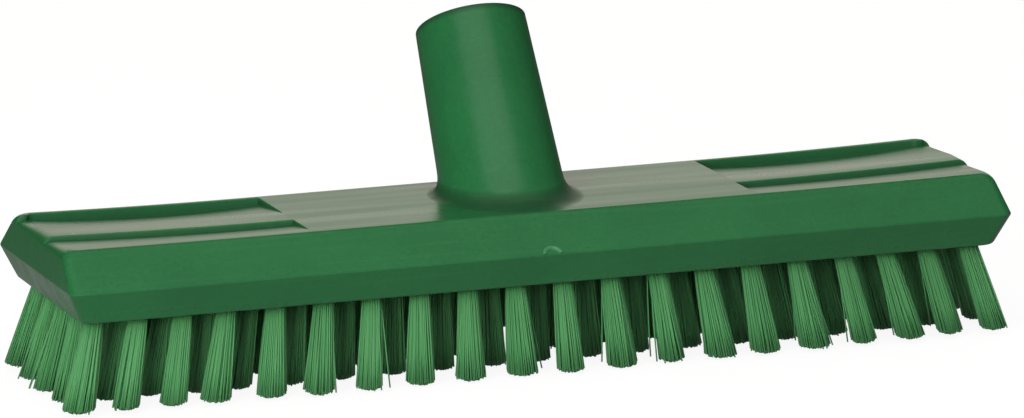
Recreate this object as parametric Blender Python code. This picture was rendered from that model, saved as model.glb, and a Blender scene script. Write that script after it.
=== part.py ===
"""A water-fed scrub brush: a moulded block with a leaning handle socket, drilled with five rows of
tufts. Water runs down the socket's bore and out in the middle of the tuft field. The socket and the
block are one moulding, modelled as two solids that part at the level of the top. Metres, +Z up,
+X along the block, -Y the front. The origin is under the middle of the whole brush, at the tuft tips."""

import math

import bmesh
import bpy
from mathutils import Vector

# The block: a long bar that is widest at a parting line between a low lower half and a sloped upper one.
# The top's edge has a small round along the sides and a larger one at the ends.
block_length = 0.270
block_width = 0.077
lower_height = 0.0090
upper_height = 0.0094
bottom_end_inset = 0.0038
bottom_side_inset = 0.0040
top_end_inset = 0.0012
top_side_inset = 0.0118
widest_corner_radius = 0.0032
top_corner_radius = 0.0024
bottom_corner_radius = 0.0034
edge_round = 0.0009
edge_bend_share = 0.3
end_round = 0.0026
round_drop_shares = (0.35, 0.08, 0)
parting_flat = 0.0005
corner_steps = 4

# The grip steps: two sawtooth scoops near each end of the top, whose walls face the front. The lines
# along them lie at shares of the top's half width, ahead of or behind its middle.
scoop_start = 0.0640
scoop_end_draft = 0.0012
wall_draft = 0.0003
rear_rim = 0.0012
rear_floor_share = 0.075
middle_crest_share = 0.318
middle_crest_sweep = 0.0020
front_floor_share = 0.843
rear_scoop_depths = (0.0020, 0.0029, 0.0014)
middle_scoop_depths = (0.0015, 0.0016, 0.0012)
front_end_rise = 0.0003
rear_end_rise = 0.0014
scoop_station_shares = (0, 0.2, 0.4, 0.6, 0.8)

# The handle socket: a tapered tube that leans back, flared where it meets the block.
socket_lean = math.radians(31.4)
socket_y = 0.0031
socket_length = 0.0506
socket_base_radius = 0.01725
socket_top_radius = 0.0155
socket_rim_round = 0.0009
flare_up = 0.0065
flare_side = 0.0040
flare_front_margin = 0.0007
flare_steps = 4
round_steps = 32
rim_steps = 3

# The water way: the socket's bore down to a seat, then a straight outlet through the block.
bore_mouth_radius = 0.0112
bore_seat_radius = 0.0107
bore_depth = 0.0475
mouth_chamfer = 0.0010
outlet_radius = 0.0040
outlet_wall = 0.0024
bore_steps = 24

# The tufts: rows that each start a share of the pitch after the one in front, fanned outwards.
bristle_length = 0.0257
row_count = 5
row_side_margin = 0.0124
row_end_margin = 0.0098
tuft_pitch = 0.01358
end_zone = 0.0366
end_pitch = 0.0128
row_shift_share = 0.25
tuft_radius = 0.0027
tuft_tip_radius = 0.0042
tuft_core_radius = 0.0006
side_splay = 0.0054
end_splay = 0.0070
trim_depth = 0.0005
strands_per_tuft = 5
strand_fill_share = 0.86
tuft_turn = math.radians(137.5)

# The backing slices that carry the tufts, let into the block's underside.
slice_thickness = 0.0040
slice_land = 0.0006
slices_per_row = 4
row_names = ("front", "inner_front", "middle", "inner_rear", "rear")

# Clearance between pieces, how far a cutter runs past what it cuts, and what is shaded as one surface.
fit_gap = 0.0003
cut_overrun = 0.0010
smooth_angle = math.radians(32)

block_colour = (0.026, 0.143, 0.053)
block_roughness = 0.36
bristle_colour = (0.072, 0.270, 0.108)
bristle_roughness = 0.45

# Places worked out from the sizes above. The block's own frame has its widest line at height zero.
widest_z = bristle_length + lower_height
half_length = block_length / 2
half_width = block_width / 2
row_half = half_width - row_side_margin
row_end = half_length - row_end_margin
row_pitch = 2 * row_half / (row_count - 1)
top_half_length = half_length - top_end_inset
top_half_width = half_width - top_side_inset
rear_floor_start = top_half_width * rear_floor_share
middle_crest_y = -top_half_width * middle_crest_share
front_floor_start = -top_half_width * front_floor_share
socket_reach = (
    socket_y
    + (socket_length - socket_rim_round) * math.sin(socket_lean)
    + (socket_top_radius - socket_rim_round) * math.cos(socket_lean)
    + socket_rim_round
)
block_y = (half_width - max(socket_reach, half_width)) / 2
to_world = Vector((0, block_y, widest_z))
socket_axis = Vector((0, math.sin(socket_lean), math.cos(socket_lean)))
socket_across = Vector((1, 0, 0))
socket_along = Vector((0, math.cos(socket_lean), -math.sin(socket_lean)))
socket_foot = Vector((0, socket_y, upper_height))


def clear_scene():
    for old in list(bpy.data.objects):
        bpy.data.objects.remove(old)


def plastic(name, colour, roughness):
    material = bpy.data.materials.new(name)
    material.use_nodes = True
    shader = material.node_tree.nodes["Principled BSDF"]
    shader.inputs["Base Color"].default_value = (*colour, 1)
    shader.inputs["Roughness"].default_value = roughness
    shader.inputs["Metallic"].default_value = 0
    return material


def band_faces(levels, count, start=0):
    """Four-sided faces between rings of count points each that lie one after another in a list."""
    faces = []
    for level in range(levels - 1):
        low, high = start + level * count, start + (level + 1) * count
        for step in range(count):
            after = (step + 1) % count
            faces.append((low + step, low + after, high + after, high + step))
    return faces


def solid(name, rings, material=None, is_round=False):
    """An object from rings of points that are joined side by side, closed by a face at each end."""
    count = len(rings[0])
    points = [point for ring in rings for point in ring]
    faces = band_faces(len(rings), count)
    faces.append(tuple(reversed(range(count))))
    faces.append(tuple(range(len(points) - count, len(points))))
    return mesh_object(name, points, faces, material, is_round)


def mesh_object(name, points, faces, material=None, is_round=False):
    mesh = bpy.data.meshes.new(name)
    mesh.from_pydata([tuple(point) for point in points], [], faces)
    shape = bmesh.new()
    shape.from_mesh(mesh)
    bmesh.ops.recalc_face_normals(shape, faces=shape.faces)
    shape.to_mesh(mesh)
    shape.free()
    if is_round:
        mesh.shade_smooth()
        mesh.set_sharp_from_angle(angle=smooth_angle)
    piece = bpy.data.objects.new(name, mesh)
    piece.location = to_world
    bpy.context.scene.collection.objects.link(piece)
    if material:
        mesh.materials.append(material)
    return piece


def combine(piece, other, operation):
    """Cuts or joins another object into a piece, and keeps the other only as a guide."""
    modifier = piece.modifiers.new(other.name, "BOOLEAN")
    modifier.operation = operation
    modifier.object = other
    other.hide_render = True
    other.display_type = "WIRE"


def box_points(low, high):
    """Two rings, bottom and top, of a box between two corners."""
    corners = [(low[0], low[1]), (high[0], low[1]), (high[0], high[1]), (low[0], high[1])]
    return [[(x, y, z) for x, y in corners] for z in (low[2], high[2])]


def arc_points(centre_x, centre_y, radius, start):
    points = []
    for step in range(corner_steps + 1):
        angle = start + step / corner_steps * math.pi / 2
        points.append((centre_x + radius * math.cos(angle), centre_y + radius * math.sin(angle)))
    return points


def swell(depths, share):
    """A depth that runs from the first value through the second, halfway, to the third."""
    first, middle, last = depths
    bow = middle - (first + last) / 2
    return first + (last - first) * share + 4 * bow * share * (1 - share)


def scoop_share(x):
    """How far a place lies along a scoop: 0 at its inner wall, 1 at the end of the block."""
    return max(0, abs(x) - scoop_start) / (top_half_length - scoop_start)


def top_height(x, y):
    """The height of the top without its scoops, which rises a little towards both ends."""
    across = (y + top_half_width) / (2 * top_half_width)
    rise = front_end_rise + (rear_end_rise - front_end_rise) * across
    return upper_height + rise * scoop_share(x) ** 2


def top_profile(x, edge_y):
    """The lines of the grip steps at x, from front to rear, as (y, height) pairs."""
    share = scoop_share(x)
    inside = abs(x) > scoop_start + scoop_end_draft / 2
    rear_depth = swell(rear_scoop_depths, share) if inside else 0
    middle_depth = swell(middle_scoop_depths, share) if inside else 0
    crest_y = middle_crest_y + middle_crest_sweep * share * share
    rim_y = edge_y - rear_rim
    return [
        (front_floor_start, top_height(x, front_floor_start)),
        (crest_y - wall_draft, top_height(x, crest_y) - middle_depth),
        (crest_y, top_height(x, crest_y)),
        (rear_floor_start, top_height(x, rear_floor_start)),
        (rim_y - wall_draft, top_height(x, rim_y) - rear_depth),
        (rim_y, top_height(x, rim_y)),
    ]


def side_places():
    """Where the long sides have points between their corners, from left to right."""
    straight = top_half_length - top_corner_radius
    first = scoop_start + scoop_end_draft
    right = [scoop_start] + [first + share * (straight - first) for share in scoop_station_shares]
    return [-x for x in reversed(right)] + right


def end_lines():
    """Where the lines of the grip steps run out over the ends, as (y, height) pairs."""
    length, width = top_half_length - end_round, top_half_width - edge_round
    return top_profile(length, width - top_corner_radius)


def outline(length, width, radius):
    """A rounded rectangle seen from above, counter-clockwise from the front's left point."""
    straight, level = length - radius, width - radius
    side = side_places()
    end = [y for y, height in end_lines()]
    points = [(x, -width) for x in side]
    points += arc_points(straight, -level, radius, -math.pi / 2)
    points += [(length, y) for y in end]
    points += arc_points(straight, level, radius, 0)
    points += [(x, width) for x in reversed(side)]
    points += arc_points(-straight, level, radius, math.pi / 2)
    points += [(-length, y) for y in reversed(end)]
    points += arc_points(-straight, -level, radius, math.pi)
    return points


def edge_heights(with_steps=True):
    """The top's height at each point of its outline, in the outline's order."""
    points = outline(top_half_length - end_round, top_half_width - edge_round, top_corner_radius)
    heights = [top_height(x, y) for x, y in points]
    if not with_steps:
        return heights
    end = [height for y, height in end_lines()]
    right_end = len(side_places()) + corner_steps + 1
    left_end = right_end + len(points) // 2
    heights[right_end : right_end + len(end)] = end
    heights[left_end : left_end + len(end)] = reversed(end)
    return heights


def round_inset(radius, drop):
    """How far a rounded edge has drawn in at a place below the top's own edge by the drop."""
    return radius - math.sqrt(radius**2 - (radius - min(drop, radius)) ** 2)


def upper_ring(drop):
    """A ring on the sloped sides and the rounds above them, below the top's own edge by the drop.
    The steps at the ends die out down the round."""
    end_inset, side_inset = round_inset(end_round, drop), round_inset(edge_round, drop)
    plain_heights = edge_heights(with_steps=False)
    fade = drop / end_round
    ring = []
    for number, (height, plain_height) in enumerate(zip(edge_heights(), plain_heights)):
        z = height + (plain_height - height) * fade - drop
        slope = (upper_height - z) / upper_height
        length = top_half_length + top_end_inset * slope - end_inset
        width = top_half_width + top_side_inset * slope - side_inset
        radius = top_corner_radius + (widest_corner_radius - top_corner_radius) * max(0, slope)
        x, y = outline(length, width, radius)[number]
        ring.append((x, y, z))
    return ring


def widest_ring(z):
    return [(x, y, z) for x, y in outline(half_length, half_width, widest_corner_radius)]


def lower_ring(inset, rise):
    """A ring on the lower slope, above the underside by the rise."""
    slope = 1 - rise / lower_height
    length = half_length - bottom_end_inset * slope - inset
    width = half_width - bottom_side_inset * slope - inset
    z = rise - lower_height
    return [(x, y, z) for x, y in outline(length, width, bottom_corner_radius)]


def block_rings():
    """The block's rings from the underside up to the edge of the top."""
    bend = edge_round * edge_bend_share
    rings = [
        lower_ring(edge_round, 0),
        lower_ring(bend, bend),
        lower_ring(0, edge_round),
        widest_ring(-parting_flat / 2),
        widest_ring(parting_flat / 2),
    ]
    drops = [end_round, (end_round + edge_round) / 2, edge_round]
    drops += [edge_round * share for share in round_drop_shares]
    return rings + [upper_ring(drop) for drop in drops]


def block_body():
    """The bare block: side rings, a flat underside and a top with the grip steps."""
    rings = block_rings()
    points = [point for ring in rings for point in ring]
    count = len(rings[0])
    faces = band_faces(len(rings), count)
    faces.append(tuple(reversed(range(count))))
    columns = top_columns(points, (len(rings) - 1) * count)
    for left, right in zip(columns, columns[1:]):
        for line in range(len(left) - 1):
            faces.append((left[line], right[line], right[line + 1], left[line + 1]))
    material = plastic("block plastic", block_colour, block_roughness)
    return mesh_object("block", points, faces, material, is_round=True)


def top_columns(points, first):
    """Lines of points across the top, from the front edge to the rear one, added where they are new."""
    side_count, line_count, arc_count = len(side_places()), len(end_lines()), corner_steps + 1
    front = list(range(first, first + side_count))
    front_right = [first + side_count + step for step in range(arc_count)]
    end_right = [front_right[-1] + 1 + step for step in range(line_count)]
    rear_right = [end_right[-1] + 1 + step for step in range(arc_count)]
    rear = [rear_right[-1] + 1 + step for step in range(side_count)]
    rear_left = [rear[-1] + 1 + step for step in range(arc_count)]
    end_left = [rear_left[-1] + 1 + step for step in range(line_count)]
    front_left = [end_left[-1] + 1 + step for step in range(arc_count)]
    fronts = front_left + front + front_right
    rears = list(reversed(rear_left)) + list(reversed(rear)) + list(reversed(rear_right))
    columns = [[fronts[0], *reversed(end_left), rears[0]]]
    for low, high in list(zip(fronts, rears))[1:-1]:
        low_x, low_y, high_x, high_y = *points[low][:2], *points[high][:2]
        column = [low]
        for y, height in top_profile(high_x, high_y):
            column.append(len(points))
            points.append((low_x + (high_x - low_x) * (y - low_y) / (high_y - low_y), y, height))
        columns.append(column + [high])
    columns.append([fronts[-1], *end_right, rears[-1]])
    return columns


def socket_point(along, radius, angle):
    across = socket_across * math.cos(angle) + socket_along * math.sin(angle)
    return socket_foot + socket_axis * along + across * radius


def socket_radius(along):
    return socket_base_radius + (socket_top_radius - socket_base_radius) * along / socket_length


def top_crossing(angle):
    """How far along the socket the line of its outside at an angle stands clear of the block's top."""
    slope = (socket_base_radius - socket_top_radius) / socket_length
    side = math.sin(angle) * math.sin(socket_lean)
    return (fit_gap + socket_base_radius * side) / (math.cos(socket_lean) + slope * side)


def socket_tube():
    """The tube from its flared foot on the block's top up to the rounded rim."""
    angles = [step / round_steps * math.tau for step in range(round_steps)]
    front_crossing = top_crossing(-math.pi / 2)
    front_bend = socket_point(front_crossing, socket_radius(front_crossing), -math.pi / 2)
    flare_front = top_half_width - flare_front_margin + front_bend.y
    feet, bends, uppers = [], [], []
    for angle in angles:
        crossing = top_crossing(angle)
        bend = socket_point(crossing, socket_radius(crossing), angle)
        reach = flare_side + (flare_front - flare_side) * max(0, -math.sin(angle)) ** 2
        outward = Vector((math.cos(angle), math.sin(angle), 0))
        feet.append(bend + outward * reach)
        bends.append(bend)
        upper = crossing + flare_up
        uppers.append(socket_point(upper, socket_radius(upper), angle))
    rings = []
    for step in range(flare_steps + 1):
        share = step / flare_steps
        rings.append(
            [
                foot * (1 - share) ** 2 + bend * 2 * share * (1 - share) + upper * share**2
                for foot, bend, upper in zip(feet, bends, uppers)
            ]
        )
    straight_end = socket_length - socket_rim_round
    for step in range(rim_steps + 1):
        turn = step / rim_steps * math.pi / 2
        along = straight_end + socket_rim_round * math.sin(turn)
        radius = socket_top_radius - socket_rim_round * (1 - math.cos(turn))
        rings.append([socket_point(along, radius, angle) for angle in angles])
    material = plastic("socket plastic", block_colour, block_roughness)
    return solid("socket", rings, material=material, is_round=True)


def bore_cutter():
    """The bore, widest at the mouth's chamfer, and narrowing a little to its seat."""
    seat = socket_length - bore_depth
    profile = [
        (seat, bore_seat_radius),
        (socket_length - mouth_chamfer, bore_mouth_radius),
        (socket_length, bore_mouth_radius + mouth_chamfer),
        (socket_length + cut_overrun, bore_mouth_radius + mouth_chamfer + cut_overrun),
    ]
    angles = [step / bore_steps * math.tau for step in range(bore_steps)]
    rings = [[socket_point(along, radius, angle) for angle in angles] for along, radius in profile]
    return solid("bore_cutter", rings, is_round=True)


def outlet_cutter():
    """The straight hole from the underside up into the bore, past the seat's low front edge."""
    seat = socket_foot + socket_axis * (socket_length - bore_depth)
    top = seat.z + (seat.y + outlet_radius) * math.tan(socket_lean) + cut_overrun
    rings = []
    for z in (-lower_height - cut_overrun, top):
        rings.append(
            [
                (
                    outlet_radius * math.cos(step / bore_steps * math.tau),
                    outlet_radius * math.sin(step / bore_steps * math.tau),
                    z,
                )
                for step in range(bore_steps)
            ]
        )
    return solid("outlet_cutter", rings, is_round=True)


def pocket_cutter():
    """The shallow pocket in the underside that the backing slices fill."""
    reach_x = row_end + tuft_radius + slice_land
    reach_y = row_half + tuft_radius + slice_land
    roof = -lower_height + slice_thickness + fit_gap
    return solid(
        "pocket_cutter",
        box_points((-reach_x, -reach_y, -lower_height - cut_overrun), (reach_x, reach_y, roof)),
    )


def outlet_island():
    """The part of the block that stays solid round the outlet, between the middle row's slices."""
    reach_x = outlet_radius + outlet_wall
    reach_y = (row_pitch - fit_gap) / 2
    roof = -lower_height + slice_thickness + fit_gap
    return solid(
        "outlet_island",
        box_points((-reach_x, -reach_y, -lower_height), (reach_x, reach_y, roof + cut_overrun)),
    )


def make_block():
    """The block and its socket, with the water way cut through both."""
    block = block_body()
    socket = socket_tube()
    bore = bore_cutter()
    outlet = outlet_cutter()
    combine(block, pocket_cutter(), "DIFFERENCE")
    combine(block, outlet_island(), "UNION")
    for piece in (block, socket):
        combine(piece, bore, "DIFFERENCE")
        combine(piece, outlet, "DIFFERENCE")


def tuft_places(row):
    """Where a row's tufts stand along the block: an even run, closed up towards both ends."""
    shift = tuft_pitch * row_shift_share * ((row_count - 1) / 2 - row)
    limit = row_end - end_zone
    reach = math.ceil(row_end / tuft_pitch) + 1
    run = [shift + step * tuft_pitch for step in range(-reach, reach + 1)]
    run = [x for x in run if abs(x) <= limit]
    left = run[0] + row_end
    right = row_end - run[-1]
    left_count = max(1, round(left / end_pitch))
    right_count = max(1, round(right / end_pitch))
    places = [-row_end + left * step / left_count for step in range(left_count)]
    places += run
    places += [run[-1] + right * step / right_count for step in range(1, right_count + 1)]
    clear = outlet_radius + outlet_wall + tuft_radius
    row_y = -row_half + row * row_pitch
    return [x for x in places if math.hypot(x, row_y) > clear]


def slice_ends(row, groups):
    """The ends of a row's slices, halfway between neighbouring tufts or at the outlet's island."""
    reach_x = row_end + tuft_radius + slice_land
    island = outlet_radius + outlet_wall
    ends = []
    left = -reach_x + fit_gap
    for group, following in zip(groups, groups[1:]):
        if row == row_count // 2 and group[-1] < 0 < following[0]:
            ends.append((left, -island - fit_gap))
            left = island + fit_gap
        else:
            middle = (group[-1] + following[0]) / 2
            ends.append((left, middle - fit_gap / 2))
            left = middle + fit_gap / 2
    ends.append((left, reach_x - fit_gap))
    return ends


def strand_rings(x, y, number, sector):
    """One strand: a wedge of the tuft's round section, from inside the slice to its cut tip."""
    lean = Vector((end_splay * x / row_end, side_splay * y / row_half, 0)) / bristle_length
    full = (bristle_length + trim_depth) / math.sqrt(1 + lean.length_squared)
    length = min(bristle_length, full)
    centre_angle = number * tuft_turn + sector / strands_per_tuft * math.tau
    half_angle = math.pi / strands_per_tuft * strand_fill_share
    spread = 1 + (tuft_tip_radius / tuft_radius - 1) * length / bristle_length
    corners = [
        (tuft_core_radius, -half_angle),
        (tuft_radius, -half_angle),
        (tuft_radius, half_angle),
        (tuft_core_radius, half_angle),
    ]
    rings = []
    for depth, scale in ((length, spread), (0, 1), (-slice_thickness / 2, 1)):
        centre = Vector((x, y, -lower_height - depth)) + lean * max(0, depth)
        ring = []
        for radius, turn in corners:
            direction = Vector((math.cos(centre_angle + turn), math.sin(centre_angle + turn), 0))
            ring.append(centre + direction * radius * scale)
        rings.append(ring)
    return rings


def tuft_strands(name, places, y, first):
    """All the strands of a slice, as separate closed forms in one guide object."""
    points, faces = [], []
    for offset, x in enumerate(places):
        for sector in range(strands_per_tuft):
            rings = strand_rings(x, y, first + offset, sector)
            start = len(points)
            corners = len(rings[0])
            points += [point for ring in rings for point in ring]
            faces += band_faces(len(rings), corners, start)
            faces.append(tuple(start + step for step in reversed(range(corners))))
            faces.append(tuple(start + (len(rings) - 1) * corners + step for step in range(corners)))
    return mesh_object(name, points, faces)


def make_tufts():
    """Five rows of tufts, each row in slices that stand side by side in the block's pocket."""
    material = plastic("bristle", bristle_colour, bristle_roughness)
    number = 0
    for row, row_name in enumerate(row_names):
        y = -row_half + row * row_pitch
        outer = tuft_radius + slice_land - fit_gap
        inner = (row_pitch - fit_gap) / 2
        low_y = y - (outer if row == 0 else inner)
        high_y = y + (outer if row == row_count - 1 else inner)
        places = tuft_places(row)
        groups = [
            places[part * len(places) // slices_per_row : (part + 1) * len(places) // slices_per_row]
            for part in range(slices_per_row)
        ]
        for part, (group, (low_x, high_x)) in enumerate(zip(groups, slice_ends(row, groups)), start=1):
            name = f"{row_name}_tufts_{part}"
            low = (low_x, low_y, -lower_height)
            high = (high_x, high_y, -lower_height + slice_thickness)
            piece = solid(name, box_points(low, high), material=material)
            combine(piece, tuft_strands(name + "_strands", group, y, number), "UNION")
            number += len(group)


clear_scene()
make_block()
make_tufts()
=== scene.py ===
import math
import random
from functools import partial

import bmesh
import bpy
from mathutils import Matrix, Vector
from mathutils.geometry import tessellate_polygon


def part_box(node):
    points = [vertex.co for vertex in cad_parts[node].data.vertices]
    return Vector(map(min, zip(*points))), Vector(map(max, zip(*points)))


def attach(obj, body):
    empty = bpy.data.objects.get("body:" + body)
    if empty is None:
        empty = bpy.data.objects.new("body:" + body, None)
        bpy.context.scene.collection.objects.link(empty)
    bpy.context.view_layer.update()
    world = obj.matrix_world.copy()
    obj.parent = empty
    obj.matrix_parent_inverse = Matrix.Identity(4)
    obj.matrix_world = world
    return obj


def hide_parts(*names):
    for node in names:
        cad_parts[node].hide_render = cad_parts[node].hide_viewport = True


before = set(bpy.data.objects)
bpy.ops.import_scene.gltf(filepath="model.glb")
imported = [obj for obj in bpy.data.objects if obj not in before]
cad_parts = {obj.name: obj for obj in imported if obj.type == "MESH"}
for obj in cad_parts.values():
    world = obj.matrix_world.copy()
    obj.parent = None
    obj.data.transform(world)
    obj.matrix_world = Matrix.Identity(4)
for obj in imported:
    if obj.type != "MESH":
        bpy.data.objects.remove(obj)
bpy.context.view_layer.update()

# A green scrub brush: one moulded block with its handle socket, and 98 tufts of cut filament.
# Sizes are in metres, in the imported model's own frame.
# The block's own frame has its parting line at height zero.
scene = bpy.context.scene
print("frame loaded,", len(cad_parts), "nodes")


# Small helpers

def linear(hexColour):
    # an sRGB hex value as the linear colour that a shader wants
    parts = [int(hexColour[start : start + 2], 16) / 255 for start in (1, 3, 5)]
    return (*[part / 12.92 if part <= 0.04045 else ((part + 0.055) / 1.055) ** 2.4 for part in parts], 1)


mathNode, vectorNode = "ShaderNodeMath", "ShaderNodeVectorMath"


def setSockets(node, sockets):
    # each socket gets a value, another node's output, or that node's first output
    for name, value in sockets.items():
        if isinstance(value, bpy.types.Node):
            value = value.outputs[0]
        if isinstance(value, bpy.types.NodeSocket):
            node.id_data.links.new(value, node.inputs[name])
        else:
            node.inputs[name].default_value = value
    return node


def addNode(tree, kind, sockets=None, **settings):
    # one node with its own settings, its values and its links
    node = tree.nodes.new(kind)
    for name, value in settings.items():
        setattr(node, name, value)
    return setSockets(node, sockets or {})


def faceOutwards(mesh, merge=0):
    shape = bmesh.new()
    shape.from_mesh(mesh)
    if merge:
        bmesh.ops.remove_doubles(shape, verts=shape.verts, dist=merge)
    bmesh.ops.recalc_face_normals(shape, faces=shape.faces)
    shape.to_mesh(mesh)
    shape.free()


def newObject(name, data):
    piece = bpy.data.objects.new(name, data)
    scene.collection.objects.link(piece)
    return piece


def meshObject(name, points, faces, smooth=True):
    mesh = bpy.data.meshes.new(name)
    mesh.from_pydata([tuple(point) for point in points], [], faces)
    faceOutwards(mesh)
    if smooth:
        mesh.shade_smooth()
    return newObject(name, mesh)


def applied(piece):
    # the evaluated shape as a plain mesh, with the modifiers gone
    view = bpy.context.evaluated_depsgraph_get()
    shape = piece.evaluated_get(view)
    mesh = bpy.data.meshes.new_from_object(shape, preserve_all_data_layers=True, depsgraph=view)
    mesh.name = piece.name
    piece.modifiers.clear()
    piece.data = mesh
    return piece


def storeValues(mesh, name, values, kind="FLOAT"):
    field = "vector" if kind == "FLOAT_VECTOR" else "value"
    mesh.attributes.new(name, kind, "POINT").data.foreach_set(field, values)


def unitCircle(steps):
    turns = [step / steps * math.tau for step in range(steps)]
    return [(math.cos(turn), math.sin(turn)) for turn in turns]


# The block: the moulding's outside, its grip steps, the socket's flare, the bore and the drilled underside

block = {
    "length": 0.270,
    "width": 0.077,
    "lowerHeight": 0.0090,
    "upperHeight": 0.0094,
    "bottomEndInset": 0.0038,
    "bottomSideInset": 0.0040,
    "topEndInset": 0.0012,
    "topSideInset": 0.0118,
    "widestCorner": 0.0032,
    "topCorner": 0.0024,
    "bottomCorner": 0.0034,
    "edgeRound": 0.0009,
    "endRound": 0.0026,
    "partingFlat": 0.0005,
    "partingRidge": 0.00004,  # the hair of flash left where the mould's halves met
    "roundSteps": 5,
    "endRoundSteps": 8,
    "cornerSteps": 9,
    "bottomWear": 0.7,
    "partingWear": 0.35,
    "topWear": 0.4,
    "smoothAngle": math.radians(34),
    "normalWeight": 60,
}

grip = {
    "start": 0.0640,
    "endDraft": 0.0005,  # steeper than the solid's, which needs wider faces
    "wallDraft": 0.0003,
    "rearRim": 0.0012,
    "rearFloorShare": 0.075,
    "middleCrestShare": 0.318,
    "middleCrestSweep": 0.0020,
    "frontFloorShare": 0.843,
    "rearDepths": (0.0020, 0.0029, 0.0014),
    "middleDepths": (0.0015, 0.0016, 0.0012),
    "frontEndRise": 0.0003,
    "rearEndRise": 0.0014,
    "wallRound": 0.00035,
    "leastRound": 0.00001,
    "roundLimit": 0.45,  # a round takes no more than this share of a wall's height
    "wearAndPaintedLight": (0, -0.1, -0.8, -0.8, -0.4, 0.5, 0.2),  # the floor, then a wall's foot and its crest, three each; below zero is painted shade, above zero worn pale
    "shadeDepth": 0.0007,  # how deep an end wall is where its painted shade is full
    "draftShares": (0, 0.2, 0.5, 0.8, 1),
    "runSteps": 16,
}

socket = {
    "lean": math.radians(31.4),
    "y": 0.0031,
    "length": 0.0506,
    "baseRadius": 0.01725,
    "topRadius": 0.0155,
    "rimRound": 0.0005,
    "rimShadeDrop": 0.0022,  # how far below the rim its painted shade begins
    "rimShade": -0.9,
    "flareUp": 0.0065,
    "flareSide": 0.0040,
    "flareMargin": 0.0012,  # how far the flare's foot stays inside the flat of the top
    # painted shade: a dark band across the flare
    "flareShade": -0.9,
    "flareShadeSteps": 12,
    "flareShadeEase": 0.6,
    "mouthRadius": 0.0112,
    "seatRadius": 0.0107,
    "boreDepth": 0.0475,
    "mouthChamfer": 0.0010,
    "chamferMiddle": (0.3, 0.6),  # its middle ring, as shares down and outwards
    "mouthWear": 0.6,
    "insideWear": 0.2,
    "seatRound": 0.0006,
    "seatWear": 0.5,
    "outletRadius": 0.0040,
    "outletRound": 0.0006,
    "outletMiddle": 0.3,
    "around": 96,
    "flareSteps": 14,
    "sideSteps": 10,
    "rimSteps": 6,
    "outletSteps": 32,
}

tufts = {
    "rows": ("front", "inner_front", "middle", "inner_rear", "rear"),
    "slices": 4,
    "bristleLength": 0.0257,
    "sideMargin": 0.0124,
    "endMargin": 0.0098,
    "pitch": 0.01358,
    "endZone": 0.0366,
    "endPitch": 0.0128,
    "shiftShare": 0.25,
    "radius": 0.0027,
    "sideSplay": 0.0054,
    "endSplay": 0.0070,
    "trim": 0.0005,
    "outletWall": 0.0024,
    "holeRadius": 0.00285,
    "holeDepth": 0.0020,
    # painted shade inside the tuft holes and a little at their edges
    "holeEdgeShade": -0.2,
    "holeShade": -1,
    "holeSteps": 16,
}

halfLength, halfWidth = block["length"] / 2, block["width"] / 2
topHalfLength, topHalfWidth = halfLength - block["topEndInset"], halfWidth - block["topSideInset"]
rowHalf, rowEnd = halfWidth - tufts["sideMargin"], halfLength - tufts["endMargin"]
rowPitch = 2 * rowHalf / (len(tufts["rows"]) - 1)
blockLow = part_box("block")[0]
toFrame = Vector((0, blockLow.y + halfWidth, blockLow.z + block["lowerHeight"]))
axis = Vector((0, math.sin(socket["lean"]), math.cos(socket["lean"])))
along = Vector((0, math.cos(socket["lean"]), -math.sin(socket["lean"])))
foot = Vector((0, socket["y"], block["upperHeight"]))


def tuftPlaces(row):
    # an even run, closed up towards both ends, that leaves the outlet free
    shift = tufts["pitch"] * tufts["shiftShare"] * ((len(tufts["rows"]) - 1) / 2 - row)
    limit = rowEnd - tufts["endZone"]
    reach = math.ceil(rowEnd / tufts["pitch"]) + 1
    run = [shift + step * tufts["pitch"] for step in range(-reach, reach + 1)]
    run = [x for x in run if abs(x) <= limit]
    left, right = run[0] + rowEnd, rowEnd - run[-1]
    leftCount, rightCount = round(left / tufts["endPitch"]), round(right / tufts["endPitch"])
    places = [-rowEnd + left * step / leftCount for step in range(leftCount)] + run
    places += [run[-1] + right * step / rightCount for step in range(1, rightCount + 1)]
    clear = socket["outletRadius"] + tufts["outletWall"] + tufts["radius"]
    y = -rowHalf + row * rowPitch
    return [(x, y) for x in places if math.hypot(x, y) > clear]


def swell(depths, share):
    # a depth at a share of the run, given at its start, its middle and its end
    first, middle, last = depths
    return first + (last - first) * share + 4 * (middle - (first + last) / 2) * share * (1 - share)


def gripShare(x):
    return max(0, abs(x) - grip["start"]) / (topHalfLength - grip["start"])


def topHeight(x, y):
    across = (y + topHalfWidth) / (2 * topHalfWidth)
    rise = grip["frontEndRise"] + (grip["rearEndRise"] - grip["frontEndRise"]) * across
    return block["upperHeight"] + rise * gripShare(x) ** 2


def roundedWall(floorLine, low, high, crestLine):
    # a grip wall's lines, with its foot and its crest rounded
    size = min(grip["wallRound"], max(grip["leastRound"], (high[1] - low[1]) * grip["roundLimit"]))
    lines = []
    for before, corner, after in ((floorLine, low, high), (low, high, crestLine)):
        first = Vector(corner) + (Vector(before) - Vector(corner)).normalized() * size
        last = Vector(corner) + (Vector(after) - Vector(corner)).normalized() * size
        lines += [tuple(first), tuple(first * 0.25 + Vector(corner) * 0.5 + last * 0.25), tuple(last)]
    return lines


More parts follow.
